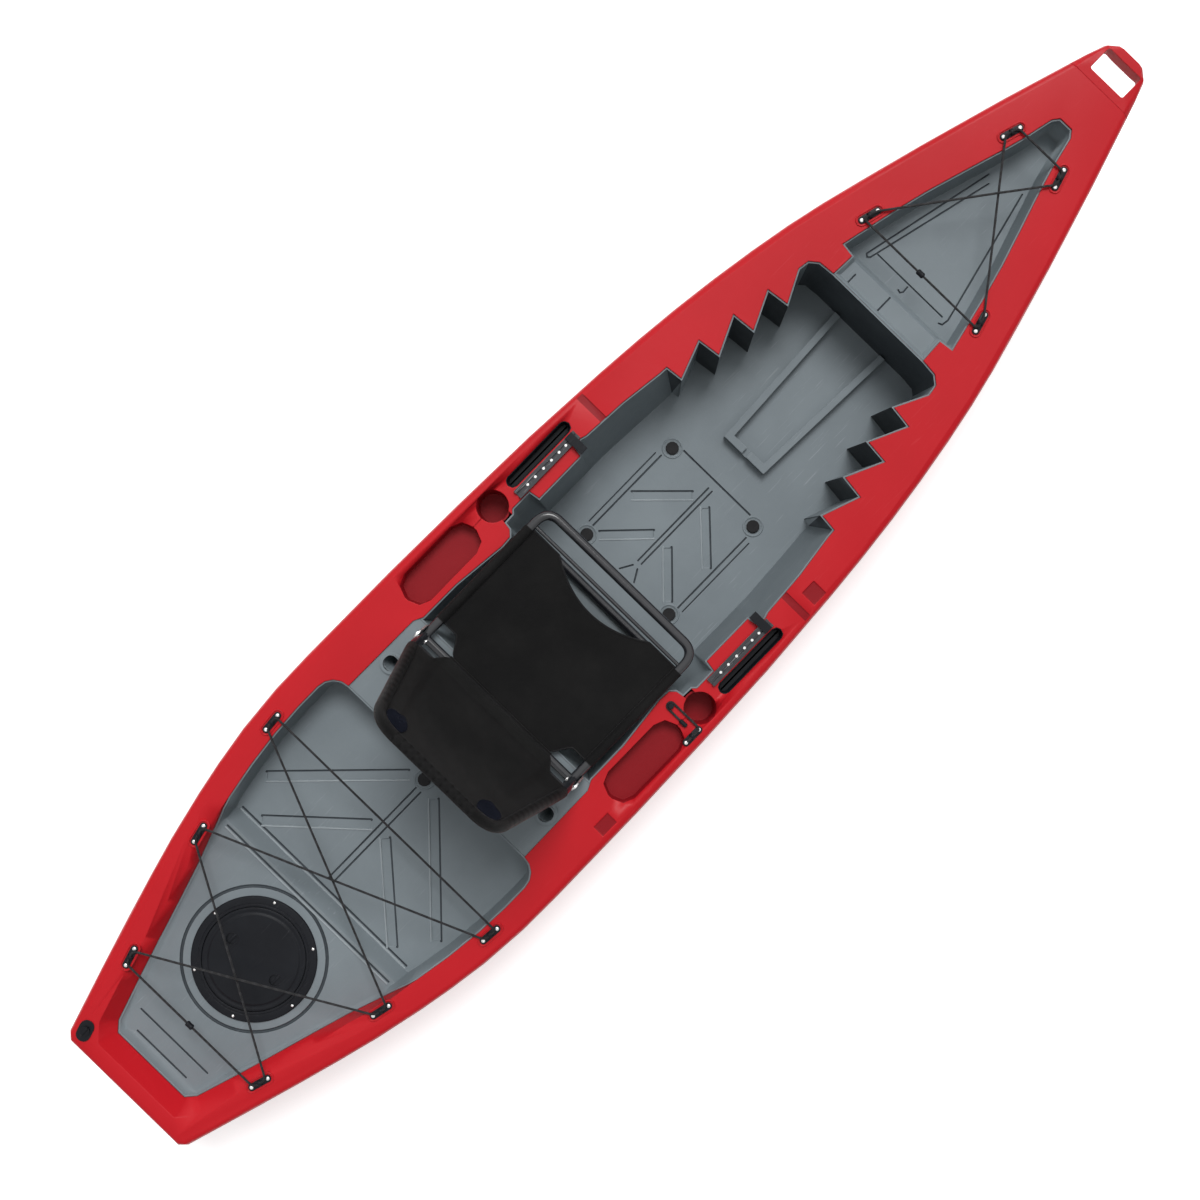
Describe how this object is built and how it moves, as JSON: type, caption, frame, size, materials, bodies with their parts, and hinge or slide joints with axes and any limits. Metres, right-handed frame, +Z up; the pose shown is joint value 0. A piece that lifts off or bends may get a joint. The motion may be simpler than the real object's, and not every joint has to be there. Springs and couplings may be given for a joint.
{
  "type": "fishing kayak",
  "caption": "Sit-on-top fishing kayak with a red hull, grey wells, a round stern hatch, framed mesh seat, stepped foot rests and bungee lacing.",
  "frame": {"origin": "centre of the bounding box's bottom face, on the flat of the keel amidships", "axes": "+X to the bow, +Y to port, +Z up"},
  "size_m": [3.66, 0.8936, 0.7821],
  "materials": {
    "red_plastic": "satin red polyethylene",
    "grey_plastic": "textured grey polyethylene",
    "black_plastic": "moulded black plastic",
    "track_metal": "black anodised",
    "seat_tube": "black powder coat",
    "seat_mesh": "coated black mesh cloth",
    "black_rubber": "matte",
    "bungee_cord": "woven black sheath",
    "steel": "stainless",
    "white_foam": "closed-cell foam"
  },
  "bodies": {
    "hull": {"hull_shell": "red_plastic", "hull_keel_panel": "red_plastic", "gunwale_deck": "red_plastic", "bow_handle": "red_plastic", "stern_well": "grey_plastic", "seat_deck": "grey_plastic", "cockpit_tub": "grey_plastic", "bow_well": "grey_plastic", "console_frame": "grey_plastic", "rod_holder_port": "grey_plastic", "rod_holder_starboard": "grey_plastic", "scupper_tube_1": "grey_plastic", "scupper_tube_2": "grey_plastic", "scupper_tube_3": "grey_plastic", "scupper_tube_4": "grey_plastic", "scupper_tube_5": "grey_plastic", "hatch_ring": "black_plastic", "drain_base": "black_plastic", "paddle_keeper_eye": "black_plastic", "paddle_keeper_bead": "black_plastic", "paddle_keeper_button": "black_plastic", "stern_bungee_bead": "black_plastic", "bow_bungee_bead": "black_plastic", "pad_eye_stern_1_port": "black_plastic", "pad_eye_stern_1_starboard": "black_plastic", "pad_eye_stern_2_port": "black_plastic", "pad_eye_stern_2_starboard": "black_plastic", "pad_eye_stern_3_port": "black_plastic", "pad_eye_stern_3_starboard": "black_plastic", "pad_eye_bow_1_port": "black_plastic", "pad_eye_bow_1_starboard": "black_plastic", "pad_eye_bow_2_port": "black_plastic", "pad_eye_bow_2_starboard": "black_plastic", "gear_track_port": "track_metal", "gear_track_starboard": "track_metal", "stern_bungee": "bungee_cord", "bow_bungee": "bungee_cord", "paddle_keeper_cord": "bungee_cord", "foam_block_cockpit": "white_foam", "foam_block_stern": "white_foam"},
    "hatch_seal": {"hatch_gasket": "black_rubber"},
    "hatch_cover": {"hatch_lid": "black_plastic"},
    "drain_screw": {"drain_plug": "black_plastic"},
    "clamp_port": {"track_clamp_port": "black_plastic"},
    "clamp_starboard": {"track_clamp_starboard": "black_plastic"},
    "seat": {"seat_base_frame": "seat_tube", "seat_front_leg": "seat_tube", "seat_rear_leg": "seat_tube", "seat_pan_mesh": "seat_mesh", "seat_hinge_bracket_port": "steel", "seat_hinge_bracket_starboard": "steel", "seat_hinge_pin_port": "steel", "seat_hinge_pin_starboard": "steel"},
    "seat_back": {"seat_back_frame": "seat_tube", "seat_back_mesh": "seat_mesh"},
    "plug_1": {"scupper_plug_1": "black_rubber"},
    "plug_2": {"scupper_plug_2": "black_rubber"},
    "plug_3": {"scupper_plug_3": "black_rubber"},
    "plug_4": {"scupper_plug_4": "black_rubber"},
    "plug_5": {"scupper_plug_5": "black_rubber"}
  },
  "joints": [
    {"name": "hatch_lift", "type": "slide", "parent": "hull", "child": "hatch_seal", "axis": [0, 0, 1], "range_m": [0, 0.04]},
    {"name": "hatch_turn", "type": "hinge", "parent": "hatch_seal", "child": "hatch_cover", "pos_m": [-1.37, 0, 0.242], "axis": [0, 0, 1], "range_deg": [0, 60]},
    {"name": "drain_turn", "type": "hinge", "parent": "hull", "child": "drain_screw", "pos_m": [-1.779, 0.182, 0.31097], "axis": [0.0202, 0, 0.9998], "range_deg": [0, 360]},
    {"name": "clamp_slide_port", "type": "slide", "parent": "hull", "child": "clamp_port", "axis": [1, 0, 0], "range_m": [-0.185, 0.005]},
    {"name": "clamp_slide_starboard", "type": "slide", "parent": "hull", "child": "clamp_starboard", "axis": [1, 0, 0], "range_m": [-0.185, 0.005]},
    {"name": "seat_lift", "type": "slide", "parent": "hull", "child": "seat", "axis": [0, 0, 1], "range_m": [0, 0.3]},
    {"name": "seat_back_fold", "type": "hinge", "parent": "seat", "child": "seat_back", "pos_m": [-0.455, 0, 0.355], "axis": [0, 1, 0], "range_deg": [0, 106]},
    {"name": "plug_pull_1", "type": "slide", "parent": "hull", "child": "plug_1", "axis": [0, 0, 1], "range_m": [0, 0.06]},
    {"name": "plug_pull_2", "type": "slide", "parent": "hull", "child": "plug_2", "axis": [0, 0, 1], "range_m": [0, 0.06]},
    {"name": "plug_pull_3", "type": "slide", "parent": "hull", "child": "plug_3", "axis": [0, 0, 1], "range_m": [0, 0.06]},
    {"name": "plug_pull_4", "type": "slide", "parent": "hull", "child": "plug_4", "axis": [0, 0, 1], "range_m": [0, 0.06]},
    {"name": "plug_pull_5", "type": "slide", "parent": "hull", "child": "plug_5", "axis": [0, 0, 1], "range_m": [0, 0.06]}
  ]
}
